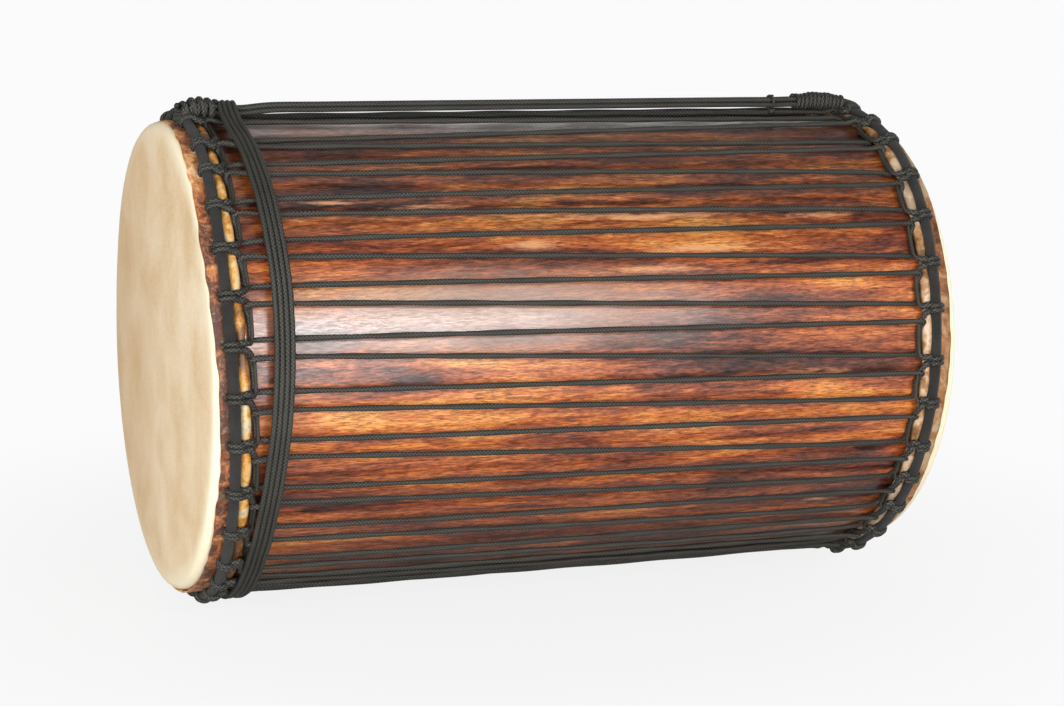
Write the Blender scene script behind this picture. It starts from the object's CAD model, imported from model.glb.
import math
import random

import bpy
import numpy as np
from mathutils import Matrix, Vector


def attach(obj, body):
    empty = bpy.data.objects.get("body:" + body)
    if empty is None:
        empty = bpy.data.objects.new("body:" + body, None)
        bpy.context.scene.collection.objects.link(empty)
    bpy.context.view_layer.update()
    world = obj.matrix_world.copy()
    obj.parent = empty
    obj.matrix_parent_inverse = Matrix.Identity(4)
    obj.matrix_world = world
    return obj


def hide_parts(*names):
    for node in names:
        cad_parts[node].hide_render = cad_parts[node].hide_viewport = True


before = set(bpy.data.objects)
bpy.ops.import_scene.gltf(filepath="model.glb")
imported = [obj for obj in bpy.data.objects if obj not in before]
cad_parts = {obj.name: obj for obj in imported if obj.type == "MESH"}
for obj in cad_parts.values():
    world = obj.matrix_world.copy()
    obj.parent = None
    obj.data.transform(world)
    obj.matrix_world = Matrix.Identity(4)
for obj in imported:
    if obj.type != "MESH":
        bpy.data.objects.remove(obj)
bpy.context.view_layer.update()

# A rope-tuned cylinder drum on its side. X runs along the drum, -Y faces the viewer, +Z is up.
# Sizes are in millimetres until a mesh is made, and in metres in the materials. Angles round
# the drum are in degrees, start at the viewer's side and grow upward. An inset is measured
# from a playing face inward, a level from the axis of the drum outward.

bpy.ops.object.select_all(action="DESELECT")
chance = random.Random(7)

MM = 0.001
DRUM_LENGTH = 713.0
AXIS_HEIGHT = 232.2
AXIS = AXIS_HEIGHT * MM
BODY_RADIUS = 215.0
BODY_WALL = 17.0
HITCHES = 32
STEP = 360.0 / HITCHES
ROPE = 2.4            # half of the lacing rope
HITCH_ROPE = 2.4      # half of the rope of the hitches
STRAP_ROPE = 2.4      # half of the rope of the strap
CROWN_WIDE = 4.9      # half sizes of the oval section of the cloth-wound ring
CROWN_HIGH = 4.3
FOLD_LEVEL = 219.0    # middle of the folded hide
FOLD_HALF = 5.2
ROD_HALF = 2.9        # half of the steel rod inside both rings
LOOP_LEVEL = 221.4    # loops of the hitch rope
HIDE_WALL = 1.3
SKIN_RADIUS = 217.0
COLLAR_RADIUS = 218.8
COLLAR_WALL = 1.4
FLOOR_HELD = 20.0     # the drum stands on hitches up to this angle from its lowest line
FLOOR_FREE = 50.0     # and past this one they have moved all of their way


def wrap(angle):
    """The same angle between -180 and 180 degrees."""
    return (angle + 180.0) % 360.0 - 180.0


def share_between(value, none, all_of_it):
    """How far a value has come from one place to another, from 0 to 1."""
    return min(max((value - none) / (all_of_it - none), 0.0), 1.0)


def read_table(places, angle):
    """Value between the two nearest places of a table round the drum."""
    angles, values = zip(*places)
    return float(np.interp(wrap(angle), angles, values))


class End:
    """One end of the drum: where its two rings run, how far they lean and how the rope slipped.

    crown and fold are the insets of the wound ring and of the folded hide, loop is the way from
    the fold to the loops and edge the radius of the log's rounded edge. Tables hold [angle,
    value] pairs round the drum: how far the sawn end stands out, the inset of the trimmed
    hide, how far the hitches and the lacing slipped in degrees, half of the angle between the
    two runs of lacing at a hitch, and how much higher a run leaves or arrives near the top."""

    def __init__(self, side, sign, **sizes):
        self.side = side
        self.sign = sign
        for name, value in sizes.items():
            setattr(self, name, value)

    def wander(self, angle):
        """How much further from the playing face the rings sit at this angle."""
        turn = math.radians(angle)
        sway = self.lean[0] * math.cos(turn) + self.lean[1] * math.sin(turn)
        height, middle, width = self.bulge
        return sway + height * math.exp(-((wrap(angle - middle) / width) ** 2))

    def place(self, angle, inset, level):
        """Point near a ring, in millimetres."""
        turn = math.radians(angle)
        x = self.sign * (DRUM_LENGTH / 2 - inset - self.wander(angle))
        return (x, -level * math.cos(turn), AXIS_HEIGHT + level * math.sin(turn))

    def even(self, index):
        """Angle of a hitch if all had the same distance. The lowest stay where the drum stands."""
        middle = (index + 0.5) * STEP
        return middle + self.shift * share_between(abs(wrap(middle + 90.0)), FLOOR_HELD, FLOOR_FREE)

    def hitch(self, index):
        """Angle of a hitch on the wound ring."""
        return self.even(index) + read_table(self.hitch_slip, self.even(index))

    def lace(self, index):
        """Angle between the two lacing runs that belong to a hitch."""
        return self.even(index) + read_table(self.lace_slip, self.even(index))

    def lace_half(self, index):
        """Half of the angle between those two runs."""
        return read_table(self.lace_spread, self.even(index))


LEFT = End(
    "left", -1, crown=21.8, crown_level=223.8, fold=31.6, lean=(-7.5, -5.3),
    bulge=(-3.2, 30.0, 32.0), shift=-1.175, loop=10.2, edge=8.0,
    saw=((-180, 2.4), (-135, 2.8), (-90, 3.4), (-40, 3.4), (0, 4.0), (40, 5.4), (70, 5.6),
         (100, 5.8), (125, 6.2), (145, 5.0), (165, 3.0), (180, 2.4)),
    trimmed=((-180, 5), (-110, 5.5), (-60, 5.5), (-38, 4.6), (-27, 3.0), (-12, 2.8), (0, 0.8),
             (8, -0.8), (20, -2.6), (32, -5.4), (40, -6.0), (45, -5.4), (60, -3.3), (80, 0),
             (100, 4), (130, 6), (180, 5)),
    hitch_slip=((-60, 0), (-41, -0.7), (-29, 0), (-7, 0.8), (5, 0.5), (61, 0), (72, -1.2),
                (83, 2.5), (94, 4.0), (106, 4.0), (117, 3.2), (128, 2.4), (140, 1.5), (162, 0)),
    lace_slip=((-75, 0), (-60, -1.8), (-41, -3.2), (-29, -2.2), (-18, -1.5), (-7, -0.7),
               (4, -0.6), (16, -0.1), (27, 0.6), (38, 0.4), (49, 0.2), (61, 1.4), (72, 1.1),
               (83, 8.3), (94, 8.0), (106, 9.5), (117, 7.0), (128, 5.0), (140, 3.2), (173, 0)),
    lace_spread=((-180, 2.15), (61, 2.2), (72, 1.9), (83, 4.9), (94, 2.6), (106, 2.15),
                 (180, 2.15)),
    leave_rise=((-180, 0), (62, 0), (66, -1.2), (76, -1.2), (90, 2.5), (98, 2.5), (105, 1),
                (112, 0), (180, 0)),
    arrive_rise=((-180, 0), (62, 0), (66, -1.2), (74, -1.2), (86, 0.2), (94, 0.2), (99, 0.5),
                 (104, 0), (180, 0)))
RIGHT = End(
    "right", 1, crown=18.0, crown_level=225.0, fold=25.2, lean=(3.0, -4.0),
    bulge=(-4.8, 58.0, 24.0), shift=1.175, loop=9.2, edge=4.0,
    saw=((-180, 4.0), (-60, 3.2), (-28, 4.4), (0, 5.8), (30, 6.2), (60, 6.0), (90, 6.0),
         (130, 5.0), (180, 4.0)),
    trimmed=((-180, 7), (-90, 7), (-44, 6.5), (-20, 5.5), (4, 3.0), (20, 1.5), (36, 0.5),
             (50, -1.5), (62, -2.0), (76, 0.0), (90, 3.0), (120, 6), (180, 7)),
    hitch_slip=((-55, 0), (-38, 1.1), (-27, 0.5), (-16, -1.0), (-4, -0.6), (7, -1.3), (18, 0),
                (29, 0), (41, 1.2), (52, 2.2), (63, 4.5), (74, 3.4), (86, 2.5), (97, 3.0),
                (108, 2.5), (119, 2.0), (130, 1.2), (153, 0)),
    lace_slip=((-75, 0), (-60, -1.2), (-38, -2.2), (-27, -2.1), (-16, -2.6), (-4, -1.7),
               (7, -2.0), (18, -0.8), (29, 0), (41, 1.4), (52, 2.0), (63, 4.1), (74, 7.4),
               (86, 8.5), (97, 6.7), (108, 8.5), (119, 6.2), (130, 4.4), (142, 2.8), (175, 0)),
    lace_spread=((-180, 2.15), (63, 2.3), (74, 3.2), (86, 3.0), (97, 3.4), (108, 2.15),
                 (180, 2.15)),
    leave_rise=((-180, 0), (62, 0), (66, -1.2), (74, -1.2), (84, 0.2), (90, 0.2), (96, 2.6),
                (98, 2.6), (104, 0), (180, 0)),
    arrive_rise=((-180, 0), (62, 0), (66, -1.2), (80, -1.5), (89, -2), (93, -2), (98, -2.9),
                 (108, -2.9), (112, 0), (180, 0)))


# Camera

PHOTO_LENS = 84.28
viewpoint = bpy.data.cameras.new("photo_camera")
viewpoint.lens = PHOTO_LENS
viewpoint.sensor_width = 36.0
viewpoint.sensor_fit = "HORIZONTAL"
viewpoint.clip_end = 100.0
camera = bpy.data.objects.new("photo_camera", viewpoint)
bpy.context.scene.collection.objects.link(camera)
look = Vector((0.35074, 0.90378, -0.24527)).normalized()
right = Vector((0.9354, -0.35065, 0.04551)).normalized()
up = right.cross(look).normalized()
right = look.cross(up).normalized()
turned = Matrix((right, up, -look)).transposed().to_4x4()
camera.matrix_world = Matrix.Translation((-0.8506, -2.2228, 0.822)) @ turned
bpy.context.scene.camera = camera
bpy.context.scene.view_settings.view_transform = "Standard"


# How materials and meshes are put together

WHITE = "#ffffff"


def linear(code):
    """sRGB hex to the linear colour that the shaders use."""
    parts = [int(code[k:k + 2], 16) / 255.0 for k in (1, 3, 5)]
    parts = [p / 12.92 if p <= 0.04045 else ((p + 0.055) / 1.055) ** 2.4 for p in parts]
    return (*parts, 1.0)


def node(tree, kind, links=None, stops=None, **settings):
    """Add one node with its settings, its ramp stops, and its values or links. The kind of a
    math node ends with its operation. A link may name another node, which stands for the
    first output that it uses."""
    kind, _, operation = kind.partition(" ")
    made = tree.nodes.new("ShaderNode" + kind)
    if operation:
        made.operation = operation
    for key, value in settings.items():
        setattr(made, key, value)
    if stops:
        made.color_ramp.elements[0].position = stops[0][0]
        made.color_ramp.elements[1].position = stops[-1][0]
        made.color_ramp.elements[0].color = linear(stops[0][1])
        made.color_ramp.elements[1].color = linear(stops[-1][1])
        for position, code in stops[1:-1]:
            made.color_ramp.elements.new(position).color = linear(code)
    for key, value in (links or {}).items():
        if isinstance(value, bpy.types.Node):
            value = next(output for output in value.outputs if output.enabled)
        if isinstance(value, bpy.types.NodeSocket):
            tree.links.new(value, made.inputs[key])
        else:
            made.inputs[key].default_value = value
    return made


def take_new(name):
    """Name the mesh that was just added, and move its place and turn into its points."""
    piece = bpy.context.object
    piece.name = name
    bpy.ops.object.transform_apply(location=True, rotation=True, scale=True)
    return piece


def start_material(name):
    """New material with its empty node tree, and the place on the object in metres."""
    material = bpy.data.materials.new(name)
    material.use_nodes = True
    tree = material.node_tree
    tree.nodes.clear()
    return material, tree, node(tree, "TexCoord").outputs["Object"]


def finish_material(tree, links):
    shader = node(tree, "BsdfPrincipled", links)
    node(tree, "OutputMaterial", {"Surface": shader})


def seen_directly(tree):
    """1 where the camera sees the surface itself, 0 where light bounces off it."""
    path = node(tree, "LightPath")
    return node(tree, "Math MAXIMUM", {0: path.outputs["Is Camera Ray"],
                                       1: path.outputs["Is Transmission Ray"]})


# Light, background and floor


def softbox(name, place, target, size, power):
    lamp = bpy.data.lights.new(name, "AREA")
    lamp.shape = "RECTANGLE"
    lamp.size, lamp.size_y = size
    lamp.energy = power
    holder = bpy.data.objects.new(name, lamp)
    holder.location = place
    aim = Vector(target) - Vector(place)
    holder.rotation_euler = aim.to_track_quat("-Z", "Y").to_euler()
    bpy.context.scene.collection.objects.link(holder)


CENTRE = (0.0, 0.0, 0.23)
LEFT_OF_MIDDLE = (-0.14, -0.2, 0.3)
softbox("front_strip", (0.36, -2.24, 1.26), LEFT_OF_MIDDLE, (0.80, 0.36), 23.0)
softbox("front_softbox", (-0.6, -3.6, 0.58), CENTRE, (2.4, 1.1), 82.0)
softbox("left_softbox", (-2.2, -1.5, 0.9), CENTRE, (1.4, 1.2), 46.0)
softbox("top_softbox", (0.2, 0.2, 2.8), CENTRE, (2.4, 1.8), 4.0)
softbox("back_softbox", (1.8, 2.9, 0.8), CENTRE, (2.4, 1.1), 18.0)
softbox("right_softbox", (3.6, 1.0, 0.9), CENTRE, (1.6, 1.2), 30.0)
softbox("high_back_softbox", (1.1, 2.6, 1.55), CENTRE, (2.4, 0.7), 3.5)


def white_studio():
    """White background to the eye, which gives the drum only a weak light of its own."""
    studio = bpy.data.worlds.new("white_studio")
    studio.use_nodes = True
    tree = studio.node_tree
    tree.nodes.clear()
    fill = node(tree, "Background", {"Color": linear(WHITE), "Strength": 0.24})
    plain = node(tree, "Background", {"Color": linear(WHITE), "Strength": 1.0})
    shown = node(tree, "MixShader", {0: seen_directly(tree), 1: fill, 2: plain})
    node(tree, "OutputWorld", {"Surface": shown})
    return studio


def white_floor():
    """White painted floor that turns into the plain white background away from the drum."""
    material, tree, spot = start_material("white_painted_floor")
    reach = node(tree, "VectorMath MULTIPLY", {0: spot, 1: (0.75, 1.0, 0.0)})
    reach = node(tree, "VectorMath LENGTH", {0: reach})
    away = node(tree, "MapRange", {0: reach, 1: 0.15, 2: 0.7, 3: 0.88, 4: 1.0},
                interpolation_type="SMOOTHSTEP")
    share = node(tree, "Math MULTIPLY", {0: seen_directly(tree), 1: away})
    paint = node(tree, "BsdfPrincipled", {"Base Color": linear("#c4c4c4"), "Roughness": 0.9,
                                          "Specular IOR Level": 0.1})
    glow = node(tree, "Emission", {"Color": linear("#fbfbfb"), "Strength": 1.0})
    mix = node(tree, "MixShader", {0: share, 1: paint, 2: glow})
    node(tree, "OutputMaterial", {"Surface": mix})
    return material


bpy.context.scene.world = white_studio()
bpy.ops.mesh.primitive_plane_add(size=40.0, location=(0.0, 6.0, 0.0))
floor = take_new("studio_floor")
floor.data.materials.append(white_floor())


# Materials


def carved_hardwood():
    """West African red hardwood, carved from one log and oiled: streaks run along the log,
    orange between dark lines, with a satin shine and pale spots where the oil wore off."""
    material, tree, spot = start_material("oiled_red_hardwood")

    def figure_of(long, wide, detail, roughness, distortion=0.0):
        """Marks of this length and width in metres, drawn out along the log."""
        drawn = node(tree, "VectorMath MULTIPLY", {0: spot, 1: (1 / long, 1 / wide, 1 / wide)})
        return node(tree, "TexNoise", {"Vector": drawn, "Scale": 1.0, "Detail": detail,
                                       "Roughness": roughness, "Distortion": distortion})

    clouds = figure_of(0.24, 0.034, 5.0, 0.6, 0.5)
    figure = figure_of(0.044, 0.005, 8.0, 0.72, 0.9)
    ragged = figure_of(0.03, 0.005, 5.0, 0.7)
    # open pores, a little coarser than real ones so that they show
    pores = figure_of(0.009, 0.0013, 4.0, 0.7)
    blend = node(tree, "Math MULTIPLY", {0: clouds, 1: 0.6})
    blend = node(tree, "Math MULTIPLY_ADD", {0: figure, 1: 0.4, 2: blend})
    heart = node(tree, "ValToRGB", {0: blend},
                 stops=[(0.38, "#281410"), (0.44, "#5a2817"), (0.495, "#8f4521"),
                        (0.55, "#bc662b"), (0.62, "#d89248")])
    dark = node(tree, "MapRange", {0: pores, 1: 0.36, 2: 0.60, 3: 0.34, 4: 1.22})
    grain = node(tree, "Mix", {0: 1.0, 6: heart, 7: dark}, data_type="RGBA", blend_type="MULTIPLY")

    # the log unrolled: the place along it and the way round it from the viewer's side
    parts = node(tree, "SeparateXYZ", {0: spot})
    height = node(tree, "Math SUBTRACT", {0: parts.outputs[2], 1: AXIS})
    front = node(tree, "Math MULTIPLY", {0: parts.outputs[1], 1: -1.0})
    angle = node(tree, "Math ARCTAN2", {0: height, 1: front})
    along = node(tree, "Math MULTIPLY", {0: angle, 1: BODY_RADIUS * MM})
    unrolled = node(tree, "CombineXYZ", {0: parts.outputs[0], 1: along})

    def distance(x, turn, long, high):
        """Distance from a place on the log, as a share of a spot's half length and height."""
        arc = math.radians(turn) * BODY_RADIUS
        away = node(tree, "VectorMath SUBTRACT", {0: unrolled, 1: (x * MM, arc * MM, 0.0)})
        away = node(tree, "VectorMath MULTIPLY", {0: away,
                                                  1: (1 / (long * MM), 1 / (high * MM), 0.0)})
        return node(tree, "VectorMath LENGTH", {0: away})

    # pale worn spots: [along the drum, angle, half length, half height]
    worn = None
    for place in ((60, 45.6, 120, 8), (-55, 38.5, 34, 8), (110, 36.0, 70, 6),
                  (230, 44.5, 50, 5), (200, 3.0, 60, 7), (-240, 52, 30, 4),
                  (250, -36, 26, 4), (60, 31, 60, 6), (-150, 50, 60, 4)):
        away = distance(*place)
        worn = away if worn is None else node(tree, "Math MINIMUM", {0: worn, 1: away})
    worn = node(tree, "MapRange", {0: worn, 1: 0.0, 2: 1.6, 3: 0.62, 4: 0.0})
    worn = node(tree, "Math ADD", {0: worn, 1: ragged})
    worn = node(tree, "Math MULTIPLY_ADD", {0: pores, 1: 0.35, 2: worn})
    worn = node(tree, "MapRange", {0: worn, 1: 0.98, 2: 1.28, 3: 0.0, 4: 0.85})
    # the upper side of the log is darker heartwood, from 35 to 48 degrees up
    top = node(tree, "MapRange", {0: angle, 1: 0.62, 2: 0.84, 3: 0.0, 4: 1.0})
    streak = node(tree, "MapRange", {0: ragged, 1: 0.42, 2: 0.60, 3: 0.66, 4: 0.12})
    top = node(tree, "Math MULTIPLY", {0: top, 1: streak})
    top = node(tree, "Math SUBTRACT", {0: 1.0, 1: top})
    grain = node(tree, "Mix", {0: 1.0, 6: grain, 7: top}, data_type="RGBA", blend_type="MULTIPLY")
    bare = node(tree, "Mix", {0: worn, 6: grain, 7: linear("#cf9468")}, data_type="RGBA")
    # the near side faded to grey where it faced the light
    away = node(tree, "Math MULTIPLY_ADD", {0: ragged, 1: 0.8, 2: distance(-110, 22, 240, 45)})
    faded = node(tree, "MapRange", {0: away, 1: 0.7, 2: 1.6, 3: 0.8, 4: 0.0},
                 interpolation_type="SMOOTHSTEP")
    bare = node(tree, "Mix", {0: faded, 6: bare, 7: linear("#8d776b")}, data_type="RGBA")
    # hand tool marks and streaks catch the light along the log
    ridges = node(tree, "Math MULTIPLY_ADD", {0: pores, 1: 0.5, 2: figure})
    bump = node(tree, "Bump", {"Strength": 0.35, "Distance": 0.0006, "Height": ridges})
    shine = node(tree, "MapRange", {0: figure, 1: 0.35, 2: 0.65, 3: 0.28, 4: 0.42})
    # oil fills the wood between the pores and shines, the pores stay dull
    oil = node(tree, "MapRange", {0: pores, 1: 0.42, 2: 0.58, 3: 0.1, 4: 1.0})
    finish_material(tree, {"Base Color": bare, "Roughness": shine, "Normal": bump, "IOR": 1.5,
                           "Specular IOR Level": 0.7, "Coat Weight": oil, "Coat IOR": 1.55,
                           "Coat Roughness": 0.28})
    return material


def scraped_hide():
    """Shaved cowhide stretched over the drum: cream with tan clouds, paler where it bends
    over the edge of the body."""
    material, tree, spot = start_material("scraped_cowhide")
    clouds = node(tree, "TexNoise", {"Vector": spot, "Scale": 1 / 0.07, "Detail": 4.0,
                                     "Roughness": 0.55, "Distortion": 0.3})
    specks = node(tree, "TexNoise", {"Vector": spot, "Scale": 1 / 0.0024, "Detail": 3.0,
                                     "Roughness": 0.7})
    mottle = node(tree, "Math MULTIPLY_ADD", {0: specks, 1: 0.60, 2: clouds})
    skin = node(tree, "ValToRGB", {0: mottle},
                stops=[(0.60, "#dcbd90"), (0.74, "#e6cba4"), (0.86, "#ecd4b0"), (1.00, "#f2dfc0")])
    # the bend over the edge, between 203 and 226 mm from the axis
    centred = node(tree, "VectorMath SUBTRACT", {0: spot, 1: (0.0, 0.0, AXIS)})
    centred = node(tree, "VectorMath MULTIPLY", {0: centred, 1: (0.0, 1.0, 1.0)})
    radius = node(tree, "VectorMath LENGTH", {0: centred})
    rim = node(tree, "Math MULTIPLY_ADD", {0: clouds, 1: 0.02, 2: radius})
    rim = node(tree, "MapRange", {0: rim, 1: 0.203, 2: 0.226, 3: 0.0, 4: 0.95},
               interpolation_type="SMOOTHSTEP")
    pale = node(tree, "Mix", {0: rim, 6: skin, 7: linear("#f3e5c6")}, data_type="RGBA")
    # the hide is more tan toward the far side
    parts = node(tree, "SeparateXYZ", {0: spot})
    far = node(tree, "MapRange", {0: parts.outputs[1], 1: -0.06, 2: 0.21, 3: 0.0, 4: 0.5})
    tan = node(tree, "Mix", {0: far, 6: pale, 7: linear("#cfa677")}, data_type="RGBA")
    bump = node(tree, "Bump", {"Strength": 0.25, "Distance": 0.0004, "Height": mottle})
    finish_material(tree, {"Base Color": tan, "Roughness": 0.62, "Normal": bump,
                           "Subsurface Weight": 0.08, "Subsurface Radius": (0.004, 0.002, 0.001),
                           "IOR": 1.45})
    return material


def toward_right(tree, spot, share):
    """Share of a change that comes in from 100 to 300 mm right of the middle of the drum."""
    parts = node(tree, "SeparateXYZ", {0: spot})
    return node(tree, "MapRange", {0: parts.outputs[0], 1: 0.1, 2: 0.3, 3: 0.0, 4: share})


def folded_hide():
    """Raw cowhide pulled wet over the steel ring: golden where it is thin, grey where hair
    was left, and glossy as dried glue."""
    material, tree, spot = start_material("dried_rawhide_fold")
    clouds = node(tree, "TexNoise", {"Vector": spot, "Scale": 1 / 0.011, "Detail": 4.0,
                                     "Roughness": 0.7})
    wide = node(tree, "TexNoise", {"Vector": spot, "Scale": 1 / 0.11, "Detail": 2.0})
    tone = node(tree, "Math MULTIPLY_ADD", {0: clouds, 1: 0.6, 2: wide})
    tone = node(tree, "Math SUBTRACT", {0: tone, 1: 0.3})
    golden = node(tree, "ValToRGB", {0: tone},
                  stops=[(0.38, "#5e3d22"), (0.44, "#a26c2e"), (0.50, "#cb9344"),
                         (0.55, "#d6b47c"), (0.60, "#c6b698"), (0.66, "#94836a")])
    grey = node(tree, "ValToRGB", {0: tone},
                stops=[(0.38, "#553a26"), (0.48, "#9a7048"), (0.56, "#c4ab90"), (0.66, "#9c836c")])
    skin = node(tree, "Mix", {0: toward_right(tree, spot, 0.9), 6: golden, 7: grey},
                data_type="RGBA")
    bump = node(tree, "Bump", {"Strength": 0.6, "Distance": 0.0012, "Height": clouds})
    finish_material(tree, {"Base Color": skin, "Roughness": 0.4, "Normal": bump,
                           "Subsurface Weight": 0.12, "Subsurface Radius": (0.004, 0.002, 0.001),
                           "IOR": 1.5})
    return material


def hairy_hide():
    """Trimmed collar of the same hide with its hair scraped off unevenly: rust and dark
    brown marks on tan, with pale cuts, and browner at the right end."""
    material, tree, spot = start_material("unshaved_cowhide_collar")
    clouds = node(tree, "TexNoise", {"Vector": spot, "Scale": 1 / 0.014, "Detail": 6.0,
                                     "Roughness": 0.72, "Distortion": 0.7})
    wide = node(tree, "TexNoise", {"Vector": spot, "Scale": 1 / 0.13, "Detail": 2.0})
    specks = node(tree, "TexNoise", {"Vector": spot, "Scale": 1 / 0.005, "Detail": 4.0,
                                     "Roughness": 0.8, "Distortion": 1.5})
    tone = node(tree, "Math MULTIPLY_ADD", {0: clouds, 1: 0.75, 2: wide})
    tone = node(tree, "Math SUBTRACT", {0: tone, 1: 0.37})
    skin = node(tree, "ValToRGB", {0: tone},
                stops=[(0.36, "#4c2b1e"), (0.43, "#874c2b"), (0.49, "#b27340"), (0.55, "#cb9866"),
                       (0.62, "#e2c49a")])
    cut = node(tree, "MapRange", {0: specks, 1: 0.52, 2: 0.80, 3: 0.0, 4: 0.5})
    marked = node(tree, "Mix", {0: cut, 6: skin, 7: linear("#e2cba6")}, data_type="RGBA")
    marked = node(tree, "Mix", {0: toward_right(tree, spot, 0.45), 6: marked,
                                7: linear("#552f1c")}, data_type="RGBA")
    bump = node(tree, "Bump", {"Strength": 0.6, "Distance": 0.0012, "Height": clouds})
    finish_material(tree, {"Base Color": marked, "Roughness": 0.6, "Normal": bump, "IOR": 1.45})
    return material


def black_cotton():
    """Black cotton strip wound tight on the ring: dull, with a thread every 1.5 mm, drawn
    coarser than the real 0.5 mm so that it shows, and a lap of the strip every 22 mm."""
    material, tree, spot = start_material("wound_black_cotton")
    lay = node(tree, "UVMap", uv_map="UVMap")
    parts = node(tree, "SeparateXYZ", {0: lay})
    weave = []
    for part in parts.outputs[:2]:
        wave = node(tree, "Math MULTIPLY", {0: part, 1: 2 * math.pi / 0.0015})
        weave.append(node(tree, "Math SINE", {0: wave}))
    threads = node(tree, "Math ADD", {0: weave[0], 1: weave[1]})
    lap = node(tree, "Math MULTIPLY_ADD", {0: parts.outputs[1], 1: 0.55, 2: parts.outputs[0]})
    lap = node(tree, "Math MULTIPLY", {0: lap, 1: 1 / 0.022})
    lap = node(tree, "Math FRACT", {0: lap})
    edge = node(tree, "MapRange", {0: lap, 1: 0.0, 2: 0.12, 3: -2.5, 4: 0.0})
    relief = node(tree, "Math ADD", {0: threads, 1: edge})
    faded = node(tree, "TexNoise", {"Vector": spot, "Scale": 1 / 0.02, "Detail": 3.0})
    black = node(tree, "ValToRGB", {0: faded}, stops=[(0.35, "#0c0b0a"), (0.65, "#221f1c")])
    bump = node(tree, "Bump", {"Strength": 0.6, "Distance": 0.0004, "Height": relief})
    finish_material(tree, {"Base Color": black, "Roughness": 0.75, "Normal": bump,
                           "Sheen Weight": 0.08, "Sheen Roughness": 0.5})
    return material


def braided_rope():
    """Black braided polyester cord: plump picks that cross like a herringbone, grey on top
    where they catch the light and black between. They are drawn 3.6 mm long, where the real
    ones have 2.5 mm, so that they show at the distance of the camera."""
    material, tree, spot = start_material("black_braided_polyester")
    lay = node(tree, "UVMap", uv_map="UVMap")
    parts = node(tree, "SeparateXYZ", {0: lay})
    length = node(tree, "Math MULTIPLY", {0: parts.outputs[0], 1: 1 / 0.0036})
    around = node(tree, "Math MULTIPLY", {0: parts.outputs[1], 1: 4.0})
    picks = []
    humps = []
    for way in (1.0, -1.0):
        mixed = node(tree, "Math MULTIPLY_ADD", {0: around, 1: way, 2: length})
        picks.append(node(tree, "Math FLOOR", {0: mixed}))
        hump = node(tree, "Math FRACT", {0: mixed})
        hump = node(tree, "Math MULTIPLY", {0: hump, 1: math.pi})
        humps.append(node(tree, "Math SINE", {0: hump}))
    both = node(tree, "Math ADD", {0: picks[0], 1: picks[1]})
    which = node(tree, "Math FLOORED_MODULO", {0: both, 1: 2.0})
    over = node(tree, "Mix", {0: which, 2: humps[0], 3: humps[1]}, data_type="FLOAT")
    cross = node(tree, "Math MULTIPLY", {0: humps[0], 1: humps[1]})
    cross = node(tree, "Math MULTIPLY_ADD", {0: cross, 1: 0.5, 2: 0.5})
    relief = node(tree, "Math MULTIPLY", {0: over, 1: cross})
    faded = node(tree, "TexNoise", {"Vector": spot, "Scale": 1 / 0.03, "Detail": 3.0})
    tone = node(tree, "Math MULTIPLY_ADD", {0: faded, 1: 0.4, 2: relief})
    dye = node(tree, "ValToRGB", {0: tone},
               stops=[(0.30, "#0a0a08"), (0.72, "#201f1b"), (1.0, "#48463d")])
    bump = node(tree, "Bump", {"Strength": 0.7, "Distance": 0.0006, "Height": relief})
    finish_material(tree, {"Base Color": dye, "Roughness": 0.62, "Normal": bump})
    return material


def bent_steel():
    """Plain steel rod bent to a ring: grey with brown rust blooms."""
    material, tree, spot = start_material("bent_mild_steel")
    bloom = node(tree, "TexNoise", {"Vector": spot, "Scale": 1 / 0.018, "Detail": 5.0,
                                    "Roughness": 0.7})
    metal = node(tree, "ValToRGB", {0: bloom},
                 stops=[(0.42, "#8e9092"), (0.58, "#85786c"), (0.72, "#6a4a34")])
    rough = node(tree, "MapRange", {0: bloom, 1: 0.4, 2: 0.7, 3: 0.35, 4: 0.7})
    finish_material(tree, {"Base Color": metal, "Metallic": 1.0, "Roughness": rough})
    return material


WOOD = carved_hardwood()
HIDE = scraped_hide()
FOLD = folded_hide()
COLLAR = hairy_hide()
COTTON = black_cotton()
CORD = braided_rope()
STEEL = bent_steel()


# Turned pieces

ON_ITS_SIDE = (0.0, math.pi / 2, 0.0)
BODY_INSET = 5.0      # ends of the log, under the playing faces
FACE_INSET = 0.35     # outside of a playing face, before the saw's table moves it
FACE_HUB = 20.0       # radius of the flat middle from which a playing face is drawn outward
FACE_OUT = 4.5        # how far the middle of a playing face stands out
RIM_RISE = 0.009      # share by which the rim is higher at the top of the drum
TRIM_RADIUS = 220.0   # radius at which the trimmed edge of the collar waves
PHASES = (0, 6.3)     # limits of the phase of a wave, a little over a full turn
ROD_CORNERS = 256


def settle(piece, material, slot, *nodes):
    """Give a finished piece its material, its place in the table and the node it stands for."""
    piece.data.materials.clear()
    piece.data.materials.append(material)
    for polygon in piece.data.polygons:
        polygon.use_smooth = True
    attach(piece, "root")
    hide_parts(*nodes)


def start_ring(name, end, inset, radius, corners):
    """A circle across the drum, ready to be extruded into a turned form."""
    x = end.sign * (DRUM_LENGTH / 2 - inset)
    bpy.ops.mesh.primitive_circle_add(vertices=corners, radius=radius * MM,
                                      location=(x * MM, 0.0, AXIS), rotation=ON_ITS_SIDE)
    piece = take_new(name)
    bpy.ops.object.mode_set(mode="EDIT")
    bpy.ops.mesh.select_all(action="SELECT")
    return piece


def pull_ring(end, steps, radius):
    """Extrude the selected ring along steps of [way inward, new radius]."""
    for step, new_radius in steps:
        grow = new_radius / radius
        bpy.ops.mesh.extrude_edges_move(
            TRANSFORM_OT_translate={"value": (-end.sign * step * MM, 0.0, 0.0)})
        bpy.ops.transform.resize(value=(1.0, grow, grow), center_override=(0.0, 0.0, AXIS))
        radius = new_radius


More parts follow.
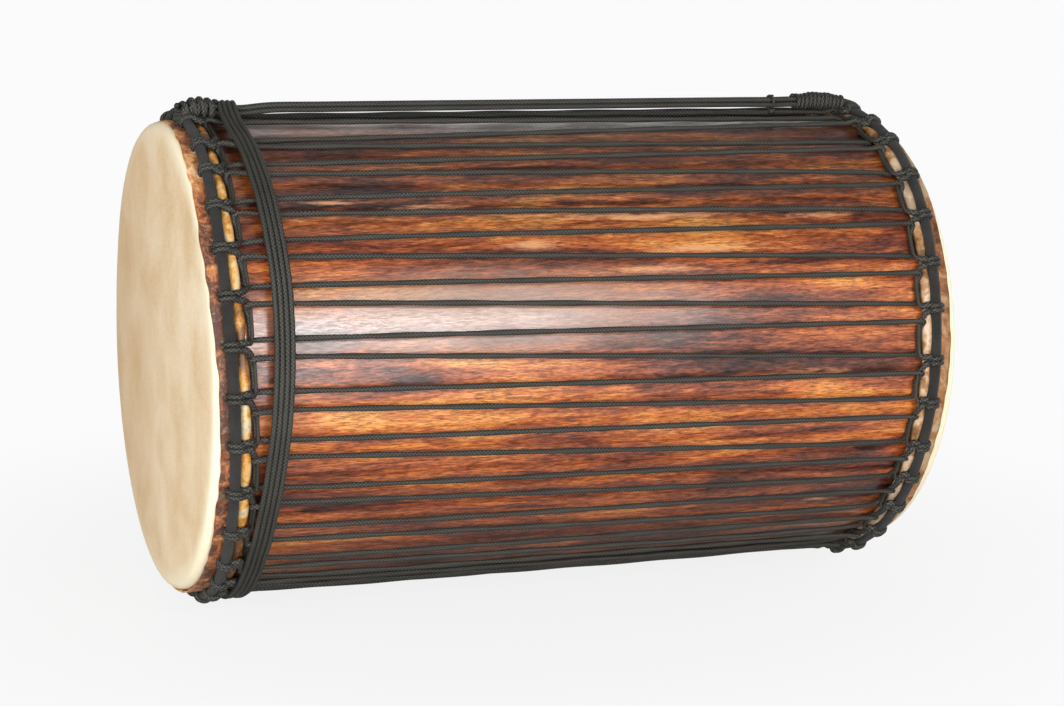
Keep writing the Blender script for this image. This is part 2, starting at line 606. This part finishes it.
def close_edit():
    bpy.ops.mesh.select_all(action="SELECT")
    bpy.ops.mesh.remove_doubles(threshold=1e-6)
    bpy.ops.mesh.normals_make_consistent(inside=False)
    bpy.ops.object.mode_set(mode="OBJECT")


def thicken(piece, wall, offset):
    """Turn a sheet into a wall of this many millimetres."""
    sheet = piece.modifiers.new("wall", "SOLIDIFY")
    sheet.thickness = wall * MM
    sheet.offset = offset


def apply_modifiers(piece):
    bpy.context.view_layer.objects.active = piece
    for modifier in list(piece.modifiers):
        bpy.ops.object.modifier_apply(modifier=modifier.name)


def bend_to_ring(piece, end, from_inset, to_inset):
    """Slide the points along the drum, by the saw's table at the face and as the rings wander
    at the fold, and lift the top of the rim."""
    for vertex in piece.data.vertices:
        x, y, z = vertex.co
        share = share_between(DRUM_LENGTH / 2 - abs(x) / MM, from_inset, to_inset)
        angle = math.degrees(math.atan2(z - AXIS, -y))
        reach = math.hypot(y, z - AXIS) / (SKIN_RADIUS * MM)
        out = FACE_OUT + (read_table(end.saw, angle) - FACE_OUT) * reach
        vertex.co.x = x + end.sign * ((1.0 - share) * out - share * end.wander(angle)) * MM
        rise = (1.0 - share) * reach * max(math.sin(math.radians(angle)), 0.0) ** 3 * RIM_RISE
        vertex.co.y = y * (1.0 + rise)
        vertex.co.z = z + (z - AXIS) * rise


def make_body():
    """Carved log: a tube with rounded edges and the slight waves of the adze."""
    depth = DRUM_LENGTH - 2 * BODY_INSET
    bpy.ops.mesh.primitive_cylinder_add(vertices=192, radius=BODY_RADIUS * MM,
                                        depth=depth * MM, end_fill_type="NOTHING",
                                        location=(0.0, 0.0, AXIS), rotation=ON_ITS_SIDE)
    body = take_new("carved_body")
    bpy.ops.object.mode_set(mode="EDIT")
    cuts = 40
    for cut in range(1, cuts):
        x = (-depth / 2 + depth * cut / cuts) * MM
        bpy.ops.mesh.select_all(action="SELECT")
        bpy.ops.mesh.bisect(plane_co=(x, 0.0, 0.0), plane_no=(1.0, 0.0, 0.0))
    close_edit()
    waves = bpy.data.textures.new("adze_waves", "CLOUDS")
    waves.noise_scale = 0.09
    carve = body.modifiers.new("adze", "DISPLACE")
    carve.texture = waves
    carve.strength = 0.0022
    carve.mid_level = 0.85
    thicken(body, BODY_WALL, -1.0)
    edge = body.modifiers.new("edge", "BEVEL")
    edge.width = 0.004
    edge.segments = 3
    edge.limit_method = "ANGLE"
    edge.angle_limit = math.radians(60)
    apply_modifiers(body)
    settle(body, WOOD, "wood_shell", "shell")


def make_head(end):
    """Playing face: hide stretched flat, bent over the rounded edge and down to its ring."""
    piece = start_ring("playing_face_" + end.side, end, FACE_INSET, FACE_HUB, 192)
    flat = SKIN_RADIUS - end.edge
    steps = [(0.0, radius) for radius in (60.0, 110.0, 160.0, 190.0, flat)]
    for k in range(1, 7):
        low, high = math.radians(15.0 * (k - 1)), math.radians(15.0 * k)
        steps.append((end.edge * (math.cos(low) - math.cos(high)),
                      flat + end.edge * math.sin(high)))
    # past the rounded edge it runs straight to the middle of the fold
    steps += [(3.0, SKIN_RADIUS), (end.fold - end.edge - 3.4, SKIN_RADIUS)]
    pull_ring(end, steps, FACE_HUB)
    bpy.ops.mesh.select_all(action="SELECT")
    bpy.ops.mesh.remove_doubles(threshold=1e-6)
    bpy.ops.mesh.select_all(action="DESELECT")
    bpy.ops.object.mode_set(mode="OBJECT")
    # the first circle is the one hole of the face, and it is filled
    face_x = end.sign * (DRUM_LENGTH / 2 - FACE_INSET) * MM
    for edge in piece.data.edges:
        ends = [piece.data.vertices[k].co for k in edge.vertices]
        edge.select = all(abs(p.x - face_x) < 1e-4 and
                          math.hypot(p.y, p.z - AXIS) < (FACE_HUB + 1.0) * MM
                          for p in ends)
    bpy.ops.object.mode_set(mode="EDIT")
    bpy.ops.mesh.select_mode(type="EDGE")
    bpy.ops.mesh.edge_face_add()
    bpy.ops.mesh.select_mode(type="VERT")
    close_edit()
    bend_to_ring(piece, end, 10.0, end.fold)
    thicken(piece, HIDE_WALL, -1.0)
    apply_modifiers(piece)
    settle(piece, HIDE, "rawhide", "head_skin_" + end.side)


def ring_tube(name, end, inset, level, wide, high, swell, material, slot, stands_for, around=640):
    """Ring that follows the wander of its end. swell changes its section along the way."""
    bpy.ops.mesh.primitive_torus_add(major_radius=level * MM, minor_radius=high * MM,
                                     major_segments=around, minor_segments=16,
                                     rotation=ON_ITS_SIDE)
    ring = take_new(name)
    uv = ring.data.uv_layers.active
    uv.name = "UVMap"
    for corner in uv.data:
        along, across = corner.uv
        corner.uv = (along * 2 * math.pi * level * MM, across * 2 * math.pi * high * MM)
    for vertex in ring.data.vertices:
        x, y, z = vertex.co
        angle = math.degrees(math.atan2(z, -y))
        size = swell(angle)
        out = math.hypot(y, z) / MM
        grow = (level + (out - level) * size) / out
        shift = end.sign * (DRUM_LENGTH / 2 - inset - end.wander(angle)) * MM
        vertex.co = (x * size * wide / high + shift, y * grow, z * grow + AXIS)
    settle(ring, material, slot, stands_for)


def nearest_hitch(end, angle):
    """Distance in degrees from an angle to the nearest hitch."""
    near = round(angle / STEP - 0.5)
    return min(abs(wrap(angle - end.hitch(near + k))) for k in (-1, 0, 1))


def make_fold(end):
    """Hide folded round the steel ring, pinched under every hitch."""
    lumps = [chance.uniform(-1, 1) for _ in range(64)]
    lump_height, pinch_depth, pinch_width = 0.07, 0.34, 2.6

    def swell(angle):
        pinch = math.exp(-((nearest_hitch(end, angle) / pinch_width) ** 2))
        place = (angle % 360.0) / 360.0 * len(lumps)
        low = int(place) % len(lumps)
        mix = place - int(place)
        lump = lumps[low] * (1 - mix) + lumps[(low + 1) % len(lumps)] * mix
        return 1.0 + lump_height * lump - pinch_depth * pinch

    ring_tube("hide_fold_" + end.side, end, end.fold, FOLD_LEVEL, FOLD_HALF, FOLD_HALF, swell,
              FOLD, "rawhide", "head_skin_" + end.side)


def make_collar(end):
    """Collar left by the fold, trimmed by knife near the playing face."""
    back = end.crown + 8.0
    deep = 20.0
    piece = start_ring("hide_collar_" + end.side, end, back, COLLAR_RADIUS, 720)
    steps = [(-deep * share, COLLAR_RADIUS + out) for share, out in
             ((0.35, 0.0), (0.2, 0.1), (0.15, 0.3), (0.15, 0.4), (0.15, 0.2))]
    pull_ring(end, steps, COLLAR_RADIUS)
    close_edit()
    waves = [(chance.randint(9, 70), chance.uniform(*PHASES), chance.uniform(0.05, 0.2))
             for _ in range(12)]
    for vertex in piece.data.vertices:
        x, y, z = vertex.co
        angle = math.atan2(z - AXIS, -y)
        trim = sum(size * math.sin(count * angle + phase) for count, phase, size in waves)
        near = share_between(back - DRUM_LENGTH / 2 + abs(x) / MM, 0.0, deep)
        under = back + end.wander(math.degrees(angle))
        cut = read_table(end.trimmed, math.degrees(angle)) + trim
        vertex.co.x = end.sign * (DRUM_LENGTH / 2 - under - (cut - under) * near) * MM
        lift = 1.0 + near ** 3 * (0.5 * math.sin(9 * angle + 1) + 0.3 * trim) / TRIM_RADIUS
        vertex.co.y = y * lift
        vertex.co.z = AXIS + (z - AXIS) * lift
    thicken(piece, COLLAR_WALL, 0.6)
    apply_modifiers(piece)
    settle(piece, COLLAR, "rawhide", "head_skin_" + end.side)


def make_crown(end):
    """Steel ring wound with black cloth, a little uneven from the winding."""
    waves = [(chance.randint(9, 90), chance.uniform(*PHASES)) for _ in range(6)]

    def swell(angle):
        turn = math.radians(angle)
        return 1.0 + 0.012 * sum(math.sin(count * turn + phase) for count, phase in waves)

    ring_tube("wound_ring_" + end.side, end, end.crown, end.crown_level, CROWN_WIDE,
              CROWN_HIGH, swell, COTTON, "black_cloth", "crown_cloth_" + end.side)


def make_rods(end):
    """Bent steel rods: one inside the folded hide and one inside the wound cloth."""
    for name, inset, level, stands_for in (
            ("hide_rod_", end.fold, FOLD_LEVEL, "flesh_ring_"),
            ("wound_rod_", end.crown, end.crown_level, "crown_ring_")):
        ring_tube(name + end.side, end, inset, level, ROD_HALF, ROD_HALF, lambda angle: 1.0,
                  STEEL, "steel_ring", stands_for + end.side, ROD_CORNERS)


# Ropes

LONG_SPAN = 60.0      # a longer span of rope is nearly straight
LONG_STEP = 6.0       # and is drawn in steps of this length


def smooth_route(points, step):
    """Catmull-Rom curve through [x, y, z, half size] points, in millimetres."""
    points = np.asarray(points, float)
    padded = np.vstack([2 * points[0] - points[1], points, 2 * points[-1] - points[-2]])
    route = []
    for k in range(1, len(padded) - 2):
        p0, p1, p2, p3 = padded[k - 1:k + 3]
        span = np.linalg.norm(p2[:3] - p1[:3])
        t1 = max(np.linalg.norm(p1[:3] - p0[:3]), 1e-6) ** 0.5
        t2 = t1 + max(span, 1e-6) ** 0.5
        t3 = t2 + max(np.linalg.norm(p3[:3] - p2[:3]), 1e-6) ** 0.5
        count = max(int(math.ceil(span / step)), 2)
        if span > LONG_SPAN:
            count = int(span / LONG_STEP)
        t = np.linspace(t1, t2, count, endpoint=False)[:, None]
        a1 = (t1 - t) / t1 * p0 + t / t1 * p1
        a2 = (t2 - t) / (t2 - t1) * p1 + (t - t1) / (t2 - t1) * p2
        a3 = (t3 - t) / (t3 - t2) * p2 + (t - t2) / (t3 - t2) * p3
        b1 = (t2 - t) / t2 * a1 + t / t2 * a2
        b2 = (t3 - t) / (t3 - t1) * a2 + (t - t1) / (t3 - t1) * a3
        route.append((t2 - t) / (t2 - t1) * b1 + (t - t1) / (t2 - t1) * b2)
    route.append(padded[-2][None, :])
    return np.vstack(route)


def make_rope(name, points, sides, step, *nodes, twist=(0.0, 1.0)):
    """Rope swept along a route, with its length on the UV map in metres. twist says how flat
    its section is and the millimetres in which the flat side turns half round."""
    route = smooth_route(points, step)
    place, half = route[:, :3], route[:, 3]
    ahead = np.gradient(place, axis=0)
    ahead /= np.linalg.norm(ahead, axis=1)[:, None]
    count = len(place)
    out = np.cross(ahead[0], (0.31, 0.62, 0.72))
    out /= np.linalg.norm(out)
    outs = np.empty_like(place)
    for k in range(count):
        out = out - ahead[k] * np.dot(out, ahead[k])
        out /= np.linalg.norm(out)
        outs[k] = out
    over = np.cross(ahead, outs)
    turns = 2 * math.pi * np.arange(sides) / sides
    ring = (outs[:, None, :] * np.cos(turns)[None, :, None]
            + over[:, None, :] * np.sin(turns)[None, :, None])
    length = np.concatenate([[0.0], np.cumsum(np.linalg.norm(np.diff(place, axis=0), axis=1))])
    flat, lay = twist
    turned_by = math.pi * length[:, None] / lay
    wide = half[:, None] * (1.0 + flat * np.cos(2.0 * (turns[None, :] - turned_by)))
    verts = (place[:, None, :] + ring * wide[:, :, None]).reshape(-1, 3) * MM

    first = np.arange(count - 1)[:, None] * sides
    side = np.arange(sides)[None, :]
    far = (side + 1) % sides
    quads = np.stack([first + side, first + far, first + sides + far, first + sides + side],
                     axis=-1).reshape(-1, 4)
    faces = quads.tolist()
    faces.append(list(range(sides))[::-1])
    faces.append(list(range((count - 1) * sides, count * sides)))
    mesh = bpy.data.meshes.new(name)
    mesh.from_pydata(verts.tolist(), [], faces)

    along = np.repeat(np.stack([length[:-1], length[:-1], length[1:], length[1:]], axis=-1),
                      sides, axis=0) * MM
    around = np.stack([side[0], side[0] + 1, side[0] + 1, side[0]], axis=-1) / sides
    around = np.tile(around, (count - 1, 1))
    corners = np.vstack([np.stack([along, around], axis=-1).reshape(-1, 2),
                         np.zeros((2 * sides, 2))])
    mesh.uv_layers.new(name="UVMap").data.foreach_set("uv", corners.ravel())
    rope = bpy.data.objects.new(name, mesh)
    bpy.context.scene.collection.objects.link(rope)
    mesh.update()
    settle(rope, CORD, "black_rope", *nodes)


QUARTER = HITCHES // 4
# Route of one hitch: [along the ring, base, inset from it, level above it, share of the size].
# The base is the wound ring, the fold or the loops. The rope leaves a hitch as it came.
HITCH_COMES = ((-9.6, "loops", 0.0, 0.0, 0.68), (-7.8, "loops", -0.6, 0.4, 0.74),
               (-5.0, "loops", -3.0, 1.8, 1.05), (-3.4, "fold", 3.2, 6.2, 1.28),
               (-2.9, "fold", -1.2, 7.2, 1.25))
HITCH_ROUTE = (
    *HITCH_COMES, (-2.45, "ring", 4.8, 5.6, 1.05),
    (-2.4, "ring", -0.2, 6.0, 0.98), (-2.4, "ring", -4.6, 3.8, 0.92),
    (-2.4, "ring", -6.2, -0.4, 0.8), (-1.8, "ring", -4.4, -4.7, 0.4),
    (-1.0, "ring", 2.0, -5.1, 0.3), (0.0, "ring", 6.0, -1.6, 0.6),
    (1.2, "ring", 6.3, 2.8, 0.9), (2.0, "ring", 4.4, 5.5, 0.98),
    (2.4, "ring", -0.4, 6.0, 0.98), (2.4, "ring", -4.6, 3.8, 0.92),
    (2.4, "ring", -6.2, -0.4, 0.8), (2.5, "ring", -4.4, -4.7, 0.4),
    (2.8, "ring", 2.0, -5.1, 0.3), (3.0, "ring", 6.0, -1.8, 0.6),
    (2.6, "fold", -4.2, 5.8, 1.05), *((-along, *rest) for along, *rest in HITCH_COMES[::-1]))


def make_hitches(end):
    """One rope that turns twice round the wound ring at every hitch and hangs in a loop
    to the next."""
    bases = {"ring": (end.crown, end.crown_level), "fold": (end.fold, FOLD_LEVEL),
             "loops": (end.fold + end.loop, LOOP_LEVEL)}
    points = []
    for k in range(QUARTER, QUARTER + HITCHES):
        nudge = chance.uniform(-0.4, 0.4)
        slack = chance.uniform(-0.6, 0.6)
        for along, base, inset, above, share in HITCH_ROUTE:
            base_inset, base_level = bases[base]
            level = base_level + above
            on_loop = base == "loops"
            middle = end.lace(k) if on_loop else end.hitch(k)
            angle = middle + math.degrees((along + nudge) / level)
            x, y, z = end.place(angle, base_inset + inset + slack * on_loop, level)
            points.append((x, y, z, HITCH_ROPE * share))
    make_rope("hitches_" + end.side, points, 8, 2.2, "hitch_rope_" + end.side)


LACING_TWIST = (0.13, 96.0)   # how flat the lacing is, and the length of its half turn
TIGHT_LEVEL = 217.7           # lacing pressed on the wood
FREE_LEVEL = 220.4            # lacing stretched clear of the wood
NEAR_TOP = 30.0               # angle from the top within which it shows against the sky
CLEAR_OF_LOOPS = 9.0
# The lacing where it leaves the loops and where it arrives: [angle from its run, inset from
# the loops, level]. It leaves from under them and arrives over them.
LEAVING = ((2.4, -0.9, TIGHT_LEVEL), (0.6, -0.6, TIGHT_LEVEL), (0.0, 2.4, TIGHT_LEVEL + 0.4))
ARRIVING = ((0.0, 1.0, 225.6), (-0.25, -2.8, 224.4), (-0.8, -3.6, 220.6),
            (-2.2, -1.6, TIGHT_LEVEL))
# Inset of the middle of the binding, which slid toward the ring low on the near side
BINDING_PLACES = ((-180.0, 66.5), (-150.0, 68.0), (-120.0, 66.0), (-90.0, 59.0), (-70.0, 51.0),
                  (-51.0, 48.5), (-39.0, 47.6), (-25.0, 48.4), (-14.0, 50.6), (-2.0, 53.8),
                  (9.0, 56.1), (19.0, 57.6), (30.0, 58.6), (50.0, 57.4), (66.0, 55.8),
                  (79.0, 54.0), (90.0, 54.5), (120.0, 59.0), (150.0, 63.0), (180.0, 66.5))


def make_lacing():
    """One rope from end to end through all loops: over one side of each, under the other."""
    points = []

    def put(end, angle, inset, level):
        points.append((*end.place(angle, inset, level), ROPE))

    for index in range(-QUARTER, -QUARTER - HITCHES, -1):
        for start, finish, number in ((LEFT, RIGHT, index), (RIGHT, LEFT, index - 1)):
            leave = start.lace(number) + start.lace_half(number) + chance.uniform(-0.15, 0.15)
            arrive = finish.lace(index) - finish.lace_half(index) + chance.uniform(-0.15, 0.15)
            loops = start.fold + start.loop
            # the rope begins under the drum, with no turn before its first run
            for past, inset, level in LEAVING if points else LEAVING[-1:]:
                put(start, leave + past, loops + inset, level)
            put(start, leave, loops + CLEAR_OF_LOOPS,
                FREE_LEVEL + read_table(start.leave_rise, leave))
            free = len(points)
            loops = finish.fold + finish.loop
            rise = read_table(finish.arrive_rise, arrive)
            if finish is LEFT:
                # the binding holds it down, and 10 mm past that it rises to the loops
                bind = read_table(BINDING_PLACES, arrive) - finish.wander(arrive)
                put(finish, arrive, bind + 14.0, 222.4 + rise)
                put(finish, arrive, bind, 222.2 + rise)
                put(finish, arrive, max(bind - 10.0, loops + 4.0), 223.8)
            else:
                put(finish, arrive, loops + CLEAR_OF_LOOPS, 224.6 + rise)
            if abs(wrap(leave - 90.0)) < NEAR_TOP:
                # points close to both ends of the free run keep it dead straight
                begin, stop = np.array(points[free - 1]), np.array(points[free])
                points[free:free] = [tuple(begin + (stop - begin) * share)
                                     for share in (0.03, 0.97)]
            last = finish is LEFT and index == 1 - QUARTER - HITCHES
            for past, inset, level in ARRIVING[:1] if last else ARRIVING:
                put(finish, arrive + past, loops + inset, level)
    make_rope("lacing", points, 10, 2.4, "lacing_rope", twist=LACING_TWIST)


BINDING_TURNS = 4
BINDING_PITCH = 4.7
BINDING_START = -140.0
BINDING_LEVEL = 226.9
BINDING_X = -290.0    # place along the drum at which it crosses the strap
STRAP_PITCH = 5.1
STRAP_ROW = 2.08      # half the distance between the two rows of strands, drawn tight
# Height of the middle of the strap above the axis: [place along the drum, level]
STRAP_LEVELS = ((-345, 231.4), (-336, 234.0), (-322, 233.8), (-306, 232.8), (-290, 231.6),
                (-275, 233.6), (-258, 234.3), (-180, 234.3), (0, 234.0), (160, 234.1),
                (262, 233.3), (290, 233.8), (308, 234.2), (330, 232.4), (345, 231.4))
# Half the distance between the two rows of strands: [place along the drum, distance]
STRAP_ROWS = ((-345, 1.2), (-330, 2.4), (-300, 2.4), (-285, STRAP_ROW), (200, STRAP_ROW),
              (262, 2.35), (286, 2.4), (326, 2.4), (345, 0.8))
# Turn of a strand round the wound ring: [way outward from it, level above it, share of the size]
STRAND_TURN = ((-4.0, -5.1, 0.5), (2.0, -5.1, 0.4), (7.4, -1.0, 1.0), (5.6, 4.4, 1.0))
# Distances from the wound ring at which the rest of a strand is placed
STRAND_STEPS = (0, 12, 24, 38, 52, 80, 130)


def along_strap(table, x):
    places, values = zip(*table)
    return float(np.interp(x, places, values))


def strap_angle(x):
    """Angle of the middle of the strap at a place along the drum."""
    return 90.0 + RIGHT.shift * x / (DRUM_LENGTH / 2)


def make_binding():
    """Four turns of rope round all the lacing, over the strap at the top."""
    points = []
    steps = BINDING_TURNS * HITCHES * 2
    width = BINDING_PITCH * BINDING_TURNS
    strap_half = 2.5 * STRAP_ROPE
    over_strap = along_strap(STRAP_LEVELS, BINDING_X) + STRAP_ROW + STRAP_ROPE + ROPE + 0.1
    for k in range(steps + 1):
        angle = wrap(BINDING_START + 360.0 * BINDING_TURNS * k / steps)
        inset = read_table(BINDING_PLACES, angle) - width / 2 + width * k / steps
        level = BINDING_LEVEL
        apart = abs(math.radians(angle - strap_angle(BINDING_X)) * 232.0)
        if apart < strap_half + 16.0:
            # it falls from the top of the strap to the lacing within 18 mm
            fall = min(max(apart - strap_half * 0.8, 0.0) / 18.0, 1.0)
            level += (over_strap - level) * (0.5 + 0.5 * math.cos(fall * math.pi))
        level += 0.3 * math.sin(k * 2.1)
        turn = math.radians(angle)
        points.append((inset - DRUM_LENGTH / 2, -level * math.cos(turn),
                       AXIS_HEIGHT + level * math.sin(turn), ROPE))
    make_rope("binding", points, 10, 4.0, "binding_rope")


def strap_place(x, across, level, size=STRAP_ROPE):
    """Point over the top of the drum: across is measured from the middle of the strap."""
    turn = math.radians(strap_angle(x))
    y = -level * math.cos(turn) + across * math.sin(turn)
    z = AXIS_HEIGHT + level * math.sin(turn) + across * math.cos(turn)
    return (x, y, z, size)


def strand_place(number, x):
    """Point on one of the four strands, which lie two over two, the upper row in the hollows."""
    row = 1 if number in (0, 2) else -1
    across = (-1 if number < 2 else 1) * STRAP_ROPE + row * STRAP_ROPE / 2
    return strap_place(x, across, along_strap(STRAP_LEVELS, x) + row * along_strap(STRAP_ROWS, x))


def make_strap():
    """One rope laid four times between the two wound rings, to and fro."""
    points = []
    for number in range(4):
        across = (number - 1.5) * STRAP_PITCH
        halves = []
        for end in (RIGHT, LEFT):
            ring_x = end.sign * (DRUM_LENGTH / 2 - end.crown - end.wander(90.0))
            turned_part = [strap_place(ring_x + end.sign * out, across, end.crown_level + above,
                                       STRAP_ROPE * share) for out, above, share in STRAND_TURN]
            strand = [strand_place(number, ring_x - end.sign * step) for step in STRAND_STEPS]
            halves.append(turned_part + strand)
        strand = halves[0] + [strand_place(number, 0.0)] + halves[1][::-1]
        points += strand if number % 2 == 0 else strand[::-1]
    make_rope("carrying_strap", points, 10, 3.0, "strap_rope")


def girth(size, drop=0.0, middle=0.0, reach=1.0, wave=0.0, ripple=0.0):
    """Half size of a coil along the strap: less by the drop at this reach from its middle, and
    uneven by the wave."""
    return lambda x: size - drop * abs(x - middle) / reach + wave * math.sin(x * ripple)


def coil(x_from, x_to, turns, size, wide, high):
    """Turns of rope of this half size round the strands of the strap."""
    places = []
    steps = int(turns * 12)
    for k in range(steps + 1):
        share = k / steps
        turn = 2 * math.pi * share * turns
        x = x_from + (x_to - x_from) * share
        across = wide(x) * math.copysign(abs(math.sin(turn)) ** 0.8, math.sin(turn))
        above = high(x) * math.copysign(abs(math.cos(turn)) ** 0.8, math.cos(turn))
        places.append(strap_place(x, across, along_strap(STRAP_LEVELS, x) + above, size))
    return places


def make_whippings():
    """Rope wound round the strap at both ends, and a tie a little way in."""
    whipping = coil(281.0, 334.0, 12, 2.3, girth(7.3, 0.6, 306, 28, 0.3, 0.8),
                    girth(6.9, 1.6, 308, 28, 0.5, 1.1))
    knots = coil(-347.0, -312.0, 5.5, 2.7, girth(7.8), girth(6.8, 2.0, -329, 18, 0.7, 1.3))
    crossing = coil(-311.0, -345.0, 4.4, 2.4, girth(9.0, wave=0.8, ripple=0.7),
                    girth(8.4, 2.2, -328, 18, 0.9, 0.9))
    tie = coil(258.0, 254.0, 1.5, 1.2, girth(6.8), girth(6.2))
    # the knot of the tie hangs under the strap
    for x, across, drop, size in ((255.0, 2.0, 7.6, 1.6), (256.0, -1.0, 9.2, 2.6),
                                  (258.0, -3.0, 9.6, 2.6), (257.0, 0.5, 8.2, 1.4)):
        tie.append(strap_place(x, across, along_strap(STRAP_LEVELS, x) - drop, size))
    make_rope("strap_whipping_right", whipping, 8, 2.0, "strap_whipping")
    make_rope("strap_knots_left", knots, 8, 2.0, "strap_rope")
    make_rope("strap_crossing_left", crossing, 8, 2.0, "strap_rope")
    make_rope("strap_tie_rope", tie, 8, 2.0, "strap_tie")


make_body()
for one_end in (LEFT, RIGHT):
    make_head(one_end)
    make_fold(one_end)
    make_collar(one_end)
    make_crown(one_end)
    make_rods(one_end)
    make_hitches(one_end)
make_lacing()
make_binding()
make_strap()
make_whippings()
